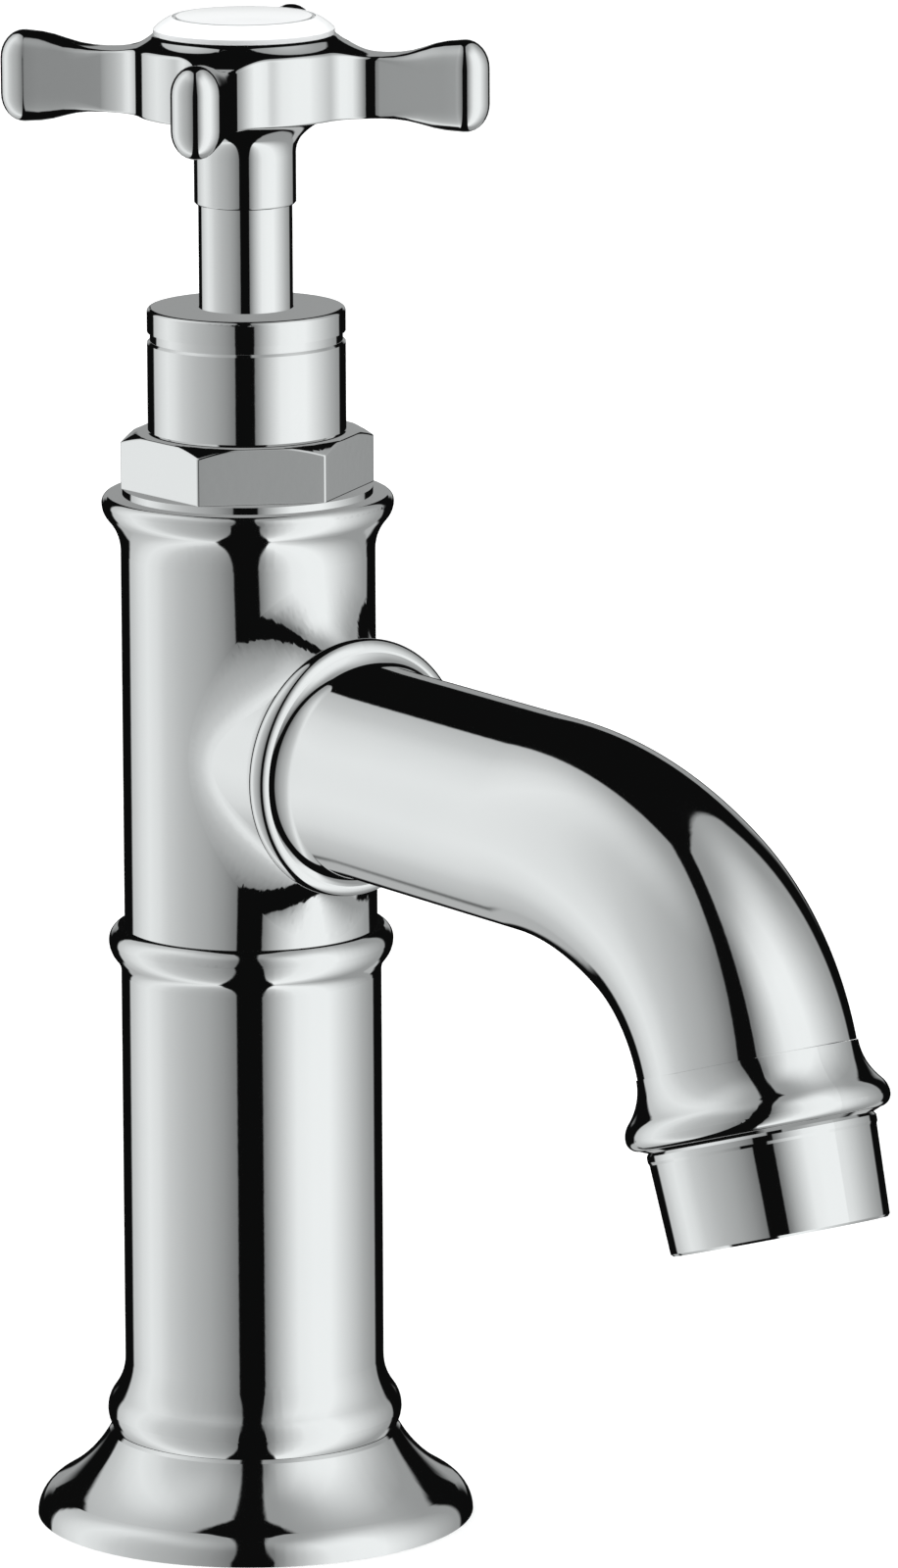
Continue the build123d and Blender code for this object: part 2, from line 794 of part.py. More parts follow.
# Valve cartridge: a brass barrel with two side windows, which holds the discs and the spindle
cartridge_bottom = valve_seat_height + cartridge_lift
window_bottom = rotating_disc_bottom
with BuildPart() as cartridge_body:
    add(disc(cartridge_radius, cartridge_bottom, cartridge_top))
    add(
        disc(
            cartridge_collar_radius,
            bonnet_socket_bottom,
            bonnet_socket_bottom + cartridge_collar_height,
        )
    )
    add(disc(cartridge_disc_bore_radius, cartridge_bottom, cartridge_roof_height), mode=Mode.SUBTRACT)
    add(
        disc(spindle_radius + running_clearance, cartridge_roof_height, cartridge_top),
        mode=Mode.SUBTRACT,
    )
    with BuildSketch(Plane.XY.offset(window_bottom)):
        for middle_angle in (0, 180):
            with BuildLine():
                window_start = middle_angle - window_angle / 2
                outer_arc = CenterArc((0, 0), bonnet_socket_radius, window_start, window_angle)
                Line(outer_arc @ 1, (0, 0))
                Line((0, 0), outer_arc @ 0)
            make_face()
        Circle(spindle_radius, mode=Mode.SUBTRACT)
    extrude(amount=window_height, mode=Mode.SUBTRACT)
cartridge_body.part.label = "cartridge_body"

# Rubber ring between the body's seat and the fixed disc
with BuildPart() as seat_seal:
    add(ring(seat_seal_hole_radius, disc_radius, valve_seat_height, fixed_disc_bottom))
seat_seal.part.label = "seat_seal"


def port_sectors(inner_radius, outer_radius, angle, height, bottom):
    """Two opposite sector-shaped blocks, the openings of a ceramic disc."""
    with BuildPart() as made:
        with BuildSketch(Plane.XY.offset(bottom)):
            for middle_angle in (0, 180):
                with BuildLine():
                    rim = CenterArc((0, 0), outer_radius, middle_angle - angle / 2, angle)
                    hub_arc = CenterArc((0, 0), inner_radius, middle_angle - angle / 2, angle)
                    Line(rim @ 1, hub_arc @ 1)
                    Line(hub_arc @ 0, rim @ 0)
                make_face()
        extrude(amount=height)
    return made.part


# Ceramic discs: closed at rest, their openings meet after a quarter turn
with BuildPart() as fixed_disc:
    add(disc(disc_radius, fixed_disc_bottom, fixed_disc_bottom + disc_height))
    add(
        port_sectors(port_inner_radius, port_outer_radius, port_angle, disc_height, fixed_disc_bottom),
        mode=Mode.SUBTRACT,
    )
fixed_disc.part.label = "fixed_disc"

with BuildPart() as rotating_disc:
    add(disc(disc_radius, rotating_disc_bottom, rotating_disc_top))
    add(
        port_sectors(
            port_inner_radius + driver_width / 2,
            disc_radius + fit_clearance,
            port_angle,
            disc_height,
            rotating_disc_bottom,
        ).rotate(Axis.Z, 90),
        mode=Mode.SUBTRACT,
    )
    with BuildSketch(Plane.XY.offset(rotating_disc_top - driver_depth)):
        Rectangle(driver_length + 2 * fit_clearance, driver_width + 2 * fit_clearance)
    extrude(amount=driver_depth, mode=Mode.SUBTRACT)
rotating_disc.part.label = "rotating_disc"

# Spindle: drives the upper disc through a blade, and carries the handle on its splined head
spline_bottom = socket_bottom
with BuildPart() as spindle:
    with BuildSketch(Plane.XY.offset(rotating_disc_top - driver_depth)):
        Rectangle(driver_length, driver_width)
    extrude(amount=spindle_flange_bottom - rotating_disc_top + driver_depth)
    add(
        disc(
            spindle_flange_radius, spindle_flange_bottom, spindle_flange_bottom + spindle_flange_height
        )
    )
    add(disc(spindle_radius, spindle_flange_bottom + spindle_flange_height, spline_bottom))
    with BuildSketch(Plane.XY.offset(spline_bottom)):
        Circle(spline_radius)
        with PolarLocations(spline_radius, spline_teeth):
            Circle(spline_tooth_depth / 2, mode=Mode.SUBTRACT)
    extrude(amount=spindle_top - spline_bottom)
    spindle_hole = spindle_radius + running_clearance
    add(shaft_groove(spindle_hole, lower_spindle_seal_height), mode=Mode.SUBTRACT)
    add(shaft_groove(spindle_hole, upper_spindle_seal_height), mode=Mode.SUBTRACT)
    add(
        ring(
            spindle_radius - clip_groove_depth,
            spindle_radius + fit_clearance,
            clip_bottom,
            clip_bottom + clip_height,
        ),
        mode=Mode.SUBTRACT,
    )
    screw_hole_bottom = spindle_top - screw_hole_depth
    add(disc(screw_radius + fit_clearance, screw_hole_bottom, spindle_top), mode=Mode.SUBTRACT)
spindle.part.label = "spindle"

with BuildPart() as spindle_seals:
    add(o_ring(spindle_hole, lower_spindle_seal_height))
    add(o_ring(spindle_hole, upper_spindle_seal_height))
spindle_seals.part.label = "spindle_seals"

with BuildPart() as spindle_clip:
    add(ring(spindle_radius - clip_groove_depth, clip_radius, clip_bottom, clip_bottom + clip_height))
    with BuildSketch(Plane.XY.offset(clip_bottom)):
        with Locations((clip_radius, 0)):
            Rectangle(2 * clip_radius, spindle_radius)
    extrude(amount=clip_height, mode=Mode.SUBTRACT)
spindle_clip.part.label = "spindle_clip"

# Slim sleeve round the spindle, between the clip and the handle's socket
with BuildPart() as stem_sleeve:
    add(ring(spindle_radius + fit_clearance, sleeve_radius, sleeve_bottom, socket_bottom))
stem_sleeve.part.label = "stem_sleeve"

# Cross handle: a turned hub with a socket, and four arms that flare to rounded paddles
with BuildPart() as turned_handle:
    with BuildSketch(Plane.XZ):
        with BuildLine():
            rim = (hub_rim_radius, hub_rim_height)
            slope_end = (hub_slope_end, waist_top)
            top_waist = (waist_reach, waist_top)
            top_tip = (tip_reach, tip_top)
            bottom_waist = (waist_reach, waist_bottom)
            bottom_tip = (tip_reach, tip_bottom)
            TangentArc(slope_end, rim, tangent=(-1, 0))
            Line(slope_end, top_waist)
            top_middle = between(top_waist, top_tip, 0.5)
            top_hollow = TangentArc(top_waist, top_middle, tangent=(1, 0))
            TangentArc(top_middle, top_tip, tangent=top_hollow % 1)
            Polyline(top_tip, (arm_reach + 1, tip_top), (arm_reach + 1, tip_bottom), bottom_tip)
            bottom_middle = between(bottom_waist, bottom_tip, 0.5)
            bottom_hollow = TangentArc(bottom_waist, bottom_middle, tangent=(1, 0))
            TangentArc(bottom_middle, bottom_tip, tangent=bottom_hollow % 1)
            flare_end = (flare_end_radius, waist_bottom)
            Line(bottom_waist, flare_end)
            lower_flare = TangentArc((socket_radius, flare_start), flare_middle, tangent=(0, 1))
            TangentArc(flare_middle, flare_end, tangent=lower_flare % 1)
            Polyline(
                (socket_radius, flare_start),
                (socket_radius, socket_bottom + socket_edge),
                (socket_radius - socket_edge, socket_bottom),
                (0, socket_bottom),
                (0, hub_rim_height),
                rim,
            )
        make_face()
    revolve(axis=Axis.Z)

# An arm's plan starts tangent to the hub, hollows to its waist and widens to a round end
arm_end_centre = arm_reach - arm_end_radius
web_centre = (waist_reach, waist_half_width + web_radius)
hub_touch = between((0, 0), web_centre, hub_radius / (hub_radius + web_radius))
flank_run = arm_end_centre - waist_reach
flank_radius = (
    (flank_run**2 + waist_half_width**2 - arm_end_radius**2) / (arm_end_radius - waist_half_width) / 2
)
flank_centre = (waist_reach, waist_half_width + flank_radius)
flank_end = between(
    (arm_end_centre, 0), flank_centre, arm_end_radius / (arm_end_radius + flank_radius)
)
arm_side = Plane(origin=(0, 0, arm_middle_height), x_dir=(1, 0, 0), z_dir=(0, -1, 0))
with BuildPart() as one_arm:
    with BuildSketch(Plane.XY.offset(socket_bottom)):
        with BuildLine():
            web_end = (waist_reach, waist_half_width)
            TangentArc(web_end, hub_touch, tangent=(-1, 0))
            flank = TangentArc(web_end, flank_end, tangent=(1, 0))
            TangentArc(flank_end, (arm_reach, 0), tangent=flank % 1)
            Polyline((arm_reach, 0), (0, 0), hub_touch)
        make_face()
        mirror(about=Plane.XZ)
    extrude(amount=hub_rim_height - socket_bottom)
    # the corners are rounded off about the arm's own axis, more and more towards the tip
    with BuildSketch(arm_side):
        with BuildLine():
            tip_round = (arm_end_centre, tip_round_radius)
            waist_round = (waist_reach, waist_round_radius)
            TangentArc(tip_round, waist_round, tangent=(-1, 0))
            end_round = TangentArc(
                tip_round, (arm_reach, tip_round_radius - arm_end_radius), tangent=(1, 0)
            )
            Polyline(
                end_round @ 1,
                (arm_reach, 0),
                (0, 0),
                (0, root_round_radius),
                (hub_radius, root_round_radius),
                waist_round,
            )
        make_face()
    revolve(axis=Axis(arm_side.origin, arm_side.x_dir), mode=Mode.INTERSECT)
    add(turned_handle.part, mode=Mode.INTERSECT)

with BuildPart() as cross_handle:
    add(disc(hub_radius, socket_bottom, hub_rim_height))
    add(turned_handle.part, mode=Mode.INTERSECT)
    with PolarLocations(0, arm_count, start_angle=handle_angle):
        add(one_arm.part)
    add(disc(spline_radius + running_clearance, socket_bottom, screw_pocket_bottom), mode=Mode.SUBTRACT)
    add(disc(screw_pocket_radius, screw_pocket_bottom, button_pocket_bottom), mode=Mode.SUBTRACT)
    add(disc(button_pocket_radius, button_pocket_bottom, hub_rim_height), mode=Mode.SUBTRACT)
cross_handle.part.label = "cross_handle"

# Screw that holds the handle down on the spindle's splined head
screw_head_top = screw_pocket_bottom + screw_head_height
with BuildPart() as handle_screw:
    add(disc(screw_radius, screw_pocket_bottom - screw_length, screw_pocket_bottom))
    add(disc(screw_head_radius, screw_pocket_bottom, screw_head_top))
    chamfer(handle_screw.edges().group_by(Axis.Z)[-1], screw_head_edge)
    with BuildSketch(Plane.XY.offset(screw_head_top - screw_drive_depth)):
        RegularPolygon(screw_drive_radius, 6)
    extrude(amount=screw_drive_depth, mode=Mode.SUBTRACT)
handle_screw.part.label = "handle_screw"

# White porcelain disc: a bevelled, slightly domed top on a skirt that an O-ring grips in the hub
button_bottom = hub_rim_height + button_lift
button_edge_top = button_bottom + button_rim_height
button_shoulder_top = button_edge_top + button_bevel_rise
button_top = button_shoulder_top + button_dome_rise
button_seal_height = button_pocket_bottom + button_seal_lift
dome_radius = (button_shoulder_radius**2 + button_dome_rise**2) / (2 * button_dome_rise)
line_height = button_top - dome_radius + math.sqrt(dome_radius**2 - button_line_radius**2)
with BuildPart() as porcelain_button:
    with BuildSketch(Plane.XZ):
        with BuildLine():
            Polyline(
                (0, button_top),
                (0, button_pocket_bottom + fit_clearance),
                (button_skirt_radius, button_pocket_bottom + fit_clearance),
                (button_skirt_radius, button_bottom),
                (button_radius, button_bottom),
                (button_radius, button_edge_top),
            )
            button_shoulder = (button_shoulder_radius, button_shoulder_top)
            TangentArc(
                button_shoulder, (button_radius, button_edge_top), tangent=(1, -button_bevel_fall)
            )
            ThreePointArc(button_shoulder, (button_line_radius, line_height), (0, button_top))
        make_face()
    revolve(axis=Axis.Z)
    add(
        ring(
            button_line_radius - button_line_width,
            button_line_radius,
            line_height - button_line_depth,
            button_top,
        ),
        mode=Mode.SUBTRACT,
    )
    add(shaft_groove(button_pocket_radius, button_seal_height), mode=Mode.SUBTRACT)
porcelain_button.part.label = "porcelain_button"

with BuildPart() as button_ring:
    add(o_ring(button_pocket_radius, button_seal_height))
button_ring.part.label = "button_ring"

# One STEP file for each piece
pieces = (
    base_flange,
    base_seal,
    pillar_post,
    tail_shank,
    deck_seal_washer,
    deck_backing_washer,
    back_nut,
    riser_tube,
    riser_seals,
    body_tee,
    body_seal,
    spout_collar,
    spout_tube,
    spout_seal,
    spout_ferrule,
    aerator_housing,
    aerator_washer,
    aerator_insert,
    aerator_screen,
    bonnet_washer,
    bonnet_nut,
    bonnet_sleeve,
    bonnet_cap,
    cartridge_body,
    seat_seal,
    fixed_disc,
    rotating_disc,
    spindle,
    spindle_seals,
    spindle_clip,
    stem_sleeve,
    cross_handle,
    handle_screw,
    porcelain_button,
    button_ring,
)
for piece in pieces:
    export_step(piece.part, f"parts/{piece.part.label}.step")
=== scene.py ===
import math

import bmesh
import bpy
import numpy as np
from mathutils import Matrix, Vector


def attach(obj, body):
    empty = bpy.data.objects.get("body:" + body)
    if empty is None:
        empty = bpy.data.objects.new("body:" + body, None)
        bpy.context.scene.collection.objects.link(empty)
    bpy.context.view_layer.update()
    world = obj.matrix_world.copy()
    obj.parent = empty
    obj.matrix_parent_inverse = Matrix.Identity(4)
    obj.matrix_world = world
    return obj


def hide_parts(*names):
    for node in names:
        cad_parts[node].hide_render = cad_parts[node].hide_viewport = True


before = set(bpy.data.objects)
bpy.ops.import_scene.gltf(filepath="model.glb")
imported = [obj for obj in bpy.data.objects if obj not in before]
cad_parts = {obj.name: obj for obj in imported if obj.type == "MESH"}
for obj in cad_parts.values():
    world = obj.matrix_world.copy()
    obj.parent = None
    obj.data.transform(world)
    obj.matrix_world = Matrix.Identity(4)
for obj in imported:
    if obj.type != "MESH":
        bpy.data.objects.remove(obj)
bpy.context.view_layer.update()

# Camera: a long lens stands in front of the tap, to the left of its spout and about twice
# as high as its handle, and looks slightly down.
camera_place = Vector((-0.8041, -1.0594, 0.3710))
camera_turn = math.radians(-38.25)
camera_fall = math.radians(11.854)
camera_roll = math.radians(-0.248)
focal_length, sensor_width = 254.4, 36
nearest, farthest = 0.05, 60
ahead = Vector((
    -math.sin(camera_turn) * math.cos(camera_fall),
    math.cos(camera_turn) * math.cos(camera_fall),
    -math.sin(camera_fall),
))
level = ahead.cross(Vector((0, 0, 1))).normalized()
above = level.cross(ahead)
sideways = math.cos(camera_roll) * level + math.sin(camera_roll) * above
upwards = math.cos(camera_roll) * above - math.sin(camera_roll) * level
lens = bpy.data.cameras.new("studio_camera")
lens.lens = focal_length
lens.sensor_width = sensor_width
lens.clip_start = nearest
lens.clip_end = farthest
camera = bpy.data.objects.new("studio_camera", lens)
camera.matrix_world = (
    Matrix.Translation(camera_place)
    @ Matrix((sideways, upwards, -ahead)).transposed().to_4x4()
)
bpy.context.scene.collection.objects.link(camera)
bpy.context.scene.camera = camera
bpy.context.scene.view_settings.view_transform = "Standard"


# Studio: two tall soft walls of light stand left and right of the camera with a dark slot
# between them. Dim strips show low behind the tap, and the rest of the back is dark.
class Wire:
    """One socket of a node tree, on which plain arithmetic adds Math nodes."""

    def __init__(self, tree, socket=None):
        self.tree = tree
        self.socket = socket

    def node(self, kind, settings=None, ports=None, out=0):
        made = self.tree.nodes.new(kind)
        for name, value in (settings or {}).items():
            if name == "stops":
                stops = made.color_ramp.elements
                while len(stops) < len(value):
                    stops.new(1.0)
                for stop, (place, light) in zip(stops, value):
                    stop.position = place
                    stop.color = (light, light, light, 1)
            else:
                setattr(made, name, value)
        for name, value in (ports or {}).items():
            if isinstance(value, Wire):
                self.tree.links.new(value.socket, made.inputs[name])
            else:
                made.inputs[name].default_value = value
        return Wire(self.tree, made.outputs[out]) if len(made.outputs) else Wire(self.tree)

    def math(self, operation, first, second=0.0):
        return self.node("ShaderNodeMath", {"operation": operation}, {0: first, 1: second})

    def sibling(self, name):
        """Another socket of the node that this wire leaves."""
        return Wire(self.tree, self.socket.node.outputs[name])

    def __add__(self, other):
        return self.math("ADD", self, other)

    __radd__ = __add__

    def __sub__(self, other):
        return self.math("SUBTRACT", self, other)

    def __rsub__(self, other):
        return self.math("SUBTRACT", other, self)

    def __mul__(self, other):
        return self.math("MULTIPLY", self, other)

    __rmul__ = __mul__

    def __truediv__(self, other):
        return self.math("DIVIDE", self, other)

    def __pow__(self, other):
        return self.math("POWER", self, other)


def between(wires, value, low, high, course="SMOOTHSTEP"):
    """0 below low, 1 above high, with a step of the given course from one to the other."""
    return wires.node("ShaderNodeMapRange", {"interpolation_type": course},
                      {0: value, 1: low, 2: high, 3: 0.0, 4: 1.0})


def band(wires, value, rise_start, rise_end, fall_start, fall_end):
    """1 from the end of the rise to the start of the fall, and 0 outside both."""
    return between(wires, value, rise_start, rise_end) * (1 - between(wires, value, fall_start, fall_end))


studio = bpy.data.worlds.new("studio")
studio.use_nodes = True
studio.node_tree.nodes.clear()
room = Wire(studio.node_tree)
look = room.node("ShaderNodeTexCoord", out="Generated")
camera_side = camera_place.xy.normalized()
to_camera = room.node("ShaderNodeVectorMath", {"operation": "DOT_PRODUCT"},
                      {0: look, 1: (camera_side.x, camera_side.y, 0)}, out="Value")
to_right = room.node("ShaderNodeVectorMath", {"operation": "DOT_PRODUCT"},
                     {0: look, 1: (-camera_side.y, camera_side.x, 0)}, out="Value")
off_middle = room.math("ABSOLUTE", to_right)
rise = room.node("ShaderNodeSeparateXYZ", ports={0: look}, out="Z")
around = room.math("ARCTAN2", to_right, to_camera) * math.degrees(1)
height = room.math("ARCSINE", rise) * math.degrees(1)

# the walls' light, by the angle in degrees from the camera round to its right
wall_light = (
    (-180, 0.30), (-130, 0.60), (-118, 0.74), (-105, 0.84), (-92, 0.76), (-80, 0.62),
    (-60, 0.49), (-40, 0.40), (-25, 0.30), (-13, 0.19), (0, 0.16), (10, 0.20),
    (20, 0.45), (30, 0.68), (40, 0.88), (55, 0.93), (72, 0.93), (88, 0.74),
    (100, 0.60), (115, 0.44), (130, 0.33), (180, 0.30),
)
wall_stops = [((angle + 180) / 360, light) for angle, light in wall_light]
walls = room.node("ShaderNodeValToRGB", {"stops": wall_stops}, {0: around / 360 + 0.5}, out="Color")

# widths are shares of a sphere's radius round the tap, and heights are degrees above level
slot_middle, slot_half_width, slot_blur = -0.034, 0.188, (-0.010, 0.020)
slot_narrowing, slot_widening, widening_heights = 0.105, 0.42, (0, 15)
back_edge = (-0.74, -0.69)
ceiling_heights, ceiling_spread = (35, 75), (0.10, 0.70)
ceiling_middle_light, ceiling_gain = 0.32, 0.42
back_strip_heights, back_strip_ends, back_strip_light = (-4, -1, 10.6, 11.8), (0.25, 0.40), 0.32
floor_strip_heights, floor_strip_light = (-38, -35, -28, -25), 0.45
stray_light = 0.004
red_share = 0.985

above_level = room.math("MAXIMUM", rise, 0.0)
behind_tap = room.math("MINIMUM", to_camera, 0.0) * between(room, height, *widening_heights)
slot_half = slot_half_width - slot_narrowing * above_level - slot_widening * behind_tap
slot_edge = room.math("ABSOLUTE", to_right - slot_middle) - slot_half
slot = 1 - between(room, slot_edge, *slot_blur)
back = 1 - between(room, to_camera, *back_edge)
overhead = between(room, height, *ceiling_heights)
ceiling_light = ceiling_middle_light + ceiling_gain * between(room, off_middle, *ceiling_spread)
lit = (walls * (1 - overhead) + ceiling_light * overhead) * (1 - slot) * (1 - back)
beside = 1 - between(room, off_middle, *back_strip_ends)
back_strip = back * beside * band(room, height, *back_strip_heights) * back_strip_light
floor_strip = back * band(room, height, *floor_strip_heights) * floor_strip_light
mirrored_light = lit + back_strip + floor_strip + stray_light
straight_look = room.node("ShaderNodeLightPath", out="Is Camera Ray")
glow = mirrored_light * (1 - straight_look) + straight_look
tint = room.node("ShaderNodeCombineColor", ports={0: glow * red_share, 1: glow, 2: glow})
backdrop = room.node("ShaderNodeBackground", ports={"Color": tint, "Strength": 1.0})
room.node("ShaderNodeOutputWorld", ports={"Surface": backdrop})
bpy.context.scene.world = studio

lamp_side, lamp_power, lamp_place = 3.2, 90, (0, 0.3, 2.2)
lamp = bpy.data.lights.new("soft_ceiling", "AREA")
lamp.shape = "RECTANGLE"
lamp.size = lamp_side
lamp.size_y = lamp_side
lamp.energy = lamp_power
ceiling = bpy.data.objects.new("soft_ceiling", lamp)
ceiling.location = lamp_place
ceiling.visible_glossy = False
ceiling.visible_camera = False
bpy.context.scene.collection.objects.link(ceiling)


def new_finish(name):
    """An empty material and the wires of its node tree, with the object's own coordinates."""
    material = bpy.data.materials.new(name)
    material.use_nodes = True
    material.node_tree.nodes.clear()
    wires = Wire(material.node_tree)
    return material, wires, wires.node("ShaderNodeTexCoord", out="Object")


def noise(wires, place, scale, detail=2.0):
    return wires.node("ShaderNodeTexNoise", ports={"Vector": place, "Scale": scale, "Detail": detail})


def shades(wires, share, first, second):
    """A colour between two colours or wires, by a share that varies over the surface."""
    first, second = [shade if isinstance(shade, Wire) else (*shade, 1) for shade in (first, second)]
    first_port, second_port, colour_port = 6, 7, 2
    return wires.node("ShaderNodeMix", {"data_type": "RGBA"},
                      {0: share, first_port: first, second_port: second}, out=colour_port)


def surfaced(wires, **ports):
    """Ends a material with one Principled shader, whose sockets the keywords name."""
    named = {name.replace("_", " "): value for name, value in ports.items()}
    shader = wires.node("ShaderNodeBsdfPrincipled", ports=named)
    wires.node("ShaderNodeOutputMaterial", ports={"Surface": shader})


floor_half = 6
floor_paint, paint, place = new_finish("pale_floor")
cloud = noise(paint, place, scale=3.0)
surfaced(
    paint,
    Base_Color=shades(paint, cloud, (0.93, 0.93, 0.93), (0.95, 0.95, 0.95)),
    Roughness=0.9,
    Specular_IOR_Level=0.0,
)
floor_corners = [(floor_half * x, floor_half * y, 0) for x, y in ((-1, -1), (1, -1), (1, 1), (-1, 1))]
floor_mesh = bpy.data.meshes.new("studio_floor")
floor_mesh.from_pydata(floor_corners, [], [(0, 1, 2, 3)])
floor_mesh.materials.append(floor_paint)
studio_floor = bpy.data.objects.new("studio_floor", floor_mesh)
studio_floor.visible_glossy = False
bpy.context.scene.collection.objects.link(studio_floor)


# Rose: the bell-shaped foot that stands on the deck, turned from brass and chrome plated.
# A rubber ring in a groove of its underside seals it to the deck.
def dress(material, *names):
    """Gives CAD nodes their finish. As in the photograph, no piece mirrors its neighbours."""
    for name in names:
        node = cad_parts[name]
        if not node.material_slots:
            node.data.materials.append(material)
        for holder in node.material_slots:
            holder.material = material
        node.visible_glossy = False


def relief(wires, height, strength, depth):
    return wires.node("ShaderNodeBump", ports={"Strength": strength, "Distance": depth, "Height": height})


chrome, plate, place = new_finish("bright_chrome")
wiped = noise(plate, place, scale=38.0, detail=3.0)
hairline = noise(plate, place, scale=900.0)
surfaced(
    plate,
    Base_Color=shades(plate, wiped, (0.88, 0.90, 0.90), (0.93, 0.94, 0.94)),
    Metallic=1.0,
    Roughness=0.025 + 0.05 * wiped * wiped,
    Normal=relief(plate, hairline, strength=0.02, depth=0.0001),
)

rubber, skin, place = new_finish("black_rubber")
pores = noise(skin, place, scale=2600.0, detail=3.0)
bloom = noise(skin, place, scale=220.0)
surfaced(
    skin,
    Base_Color=shades(skin, bloom, (0.012, 0.012, 0.013), (0.035, 0.035, 0.036)),
    Roughness=0.55 + 0.2 * pores,
    Normal=relief(skin, pores, strength=0.25, depth=0.0002),
)
dress(chrome, "base_flange")
dress(rubber, "base_seal")


# Lower pillar: a round chromed post with a swelling at its foot and a bead at its top,
# turned in one piece and screwed on the tail below.
dress(chrome, "pillar_post")


# Tail: the threaded brass shank that goes down through the deck, with the rubber and steel
# washers and the back nut that draw the tap tight against it.
def shade(mesh, angle):
    """Smooth faces, with edges sharper than the angle in degrees left crisp."""
    mesh.polygons.foreach_set("use_smooth", [True] * len(mesh.polygons))
    mesh.set_sharp_from_angle(angle=math.radians(angle))


def seat(name, mesh, material, body, replaced):
    """Puts a finished mesh in the scene in place of the CAD node that it stands for."""
    mesh.name = name
    if not mesh.materials:
        mesh.materials.append(material)
    piece = bpy.data.objects.new(name, mesh)
    bpy.context.scene.collection.objects.link(piece)
    piece.visible_glossy = False
    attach(piece, body)
    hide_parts(replaced)


def close(mesh):
    """Merges doubles and points all faces outwards."""
    work = bmesh.new()
    work.from_mesh(mesh)
    bmesh.ops.remove_doubles(work, verts=work.verts, dist=2e-6)
    bmesh.ops.dissolve_degenerate(work, edges=work.edges, dist=1e-7)
    bmesh.ops.recalc_face_normals(work, faces=work.faces)
    work.to_mesh(mesh)
    work.free()


def turned(profile, columns):
    """A mesh turned about the upright axis from a closed profile of (radius, height) in millimetres."""
    count = len(profile)
    points = []
    faces = []
    for column in range(columns):
        angle = 2 * math.pi * column / columns
        points += [(r * math.cos(angle) / 1000, r * math.sin(angle) / 1000, z / 1000) for r, z in profile]
        here, there = column * count, (column + 1) % columns * count
        for row in range(count):
            after = (row + 1) % count
            faces.append((here + row, there + row, there + after, here + after))
    mesh = bpy.data.meshes.new("turned")
    mesh.from_pydata(points, [], faces)
    close(mesh)
    return mesh


def new_tree(name, sizes):
    """A Geometry Nodes tree with one named number input for each size, and its inputs' wires."""
    tree = bpy.data.node_groups.new(name, "GeometryNodeTree")
    tree.interface.new_socket("Geometry", in_out="INPUT", socket_type="NodeSocketGeometry")
    for size in sizes:
        tree.interface.new_socket(size, in_out="INPUT", socket_type="NodeSocketFloat")
    tree.interface.new_socket("Geometry", in_out="OUTPUT", socket_type="NodeSocketGeometry")
    inlet = tree.nodes.new("NodeGroupInput")
    return tree, Wire(tree), {socket.name: Wire(tree, socket) for socket in inlet.outputs if socket.name}


def end_tree(wires, shape, material):
    """Makes the shape plain, gives it its material and ends the tree with it."""
    plain = wires.node("GeometryNodeRealizeInstances", ports={0: shape})
    finished = wires.node("GeometryNodeSetMaterial", ports={0: plain, "Material": material})
    wires.node("NodeGroupOutput", ports={0: finished})


def grown(source, tree, sizes):
    """The plain mesh that a tree makes of a mesh or curve with these sizes."""
    carrier = bpy.data.objects.new("carrier", source)
    bpy.context.scene.collection.objects.link(carrier)
    modifier = carrier.modifiers.new("shape", "NODES")
    modifier.node_group = tree
    for item in tree.interface.items_tree:
        if item.in_out == "INPUT" and item.name in sizes:
            modifier[item.identifier] = sizes[item.name]
    ready = carrier.evaluated_get(bpy.context.evaluated_depsgraph_get())
    mesh = bpy.data.meshes.new_from_object(ready)
    bpy.data.objects.remove(carrier)
    return mesh


brass, cast, place = new_finish("turned_brass")
across_grain, along_grain = 60, 5200
grain = cast.node("ShaderNodeMapping",
                  ports={"Vector": place, "Scale": (across_grain, across_grain, along_grain)})
turning = noise(cast, grain, scale=1.0, detail=3.0)
tarnish = noise(cast, place, scale=160.0, detail=3.0)
surfaced(
    cast,
    Base_Color=shades(cast, tarnish, (0.74, 0.53, 0.24), (0.88, 0.68, 0.36)),
    Metallic=1.0,
    Roughness=0.24 + 0.14 * turning,
    Normal=relief(cast, turning, strength=0.12, depth=0.0001),
)

steel, rolled, place = new_finish("zinc_plated_steel")
spangle = rolled.node("ShaderNodeTexVoronoi", ports={"Vector": place, "Scale": 700.0}, out="Distance")
cloud = noise(rolled, place, scale=240.0, detail=3.0)
surfaced(
    rolled,
    Base_Color=shades(rolled, cloud, (0.55, 0.56, 0.57), (0.72, 0.72, 0.71)),
    Metallic=1.0,
    Roughness=0.28 + 0.16 * spangle,
    Normal=relief(rolled, cloud, strength=0.10, depth=0.0001),
)

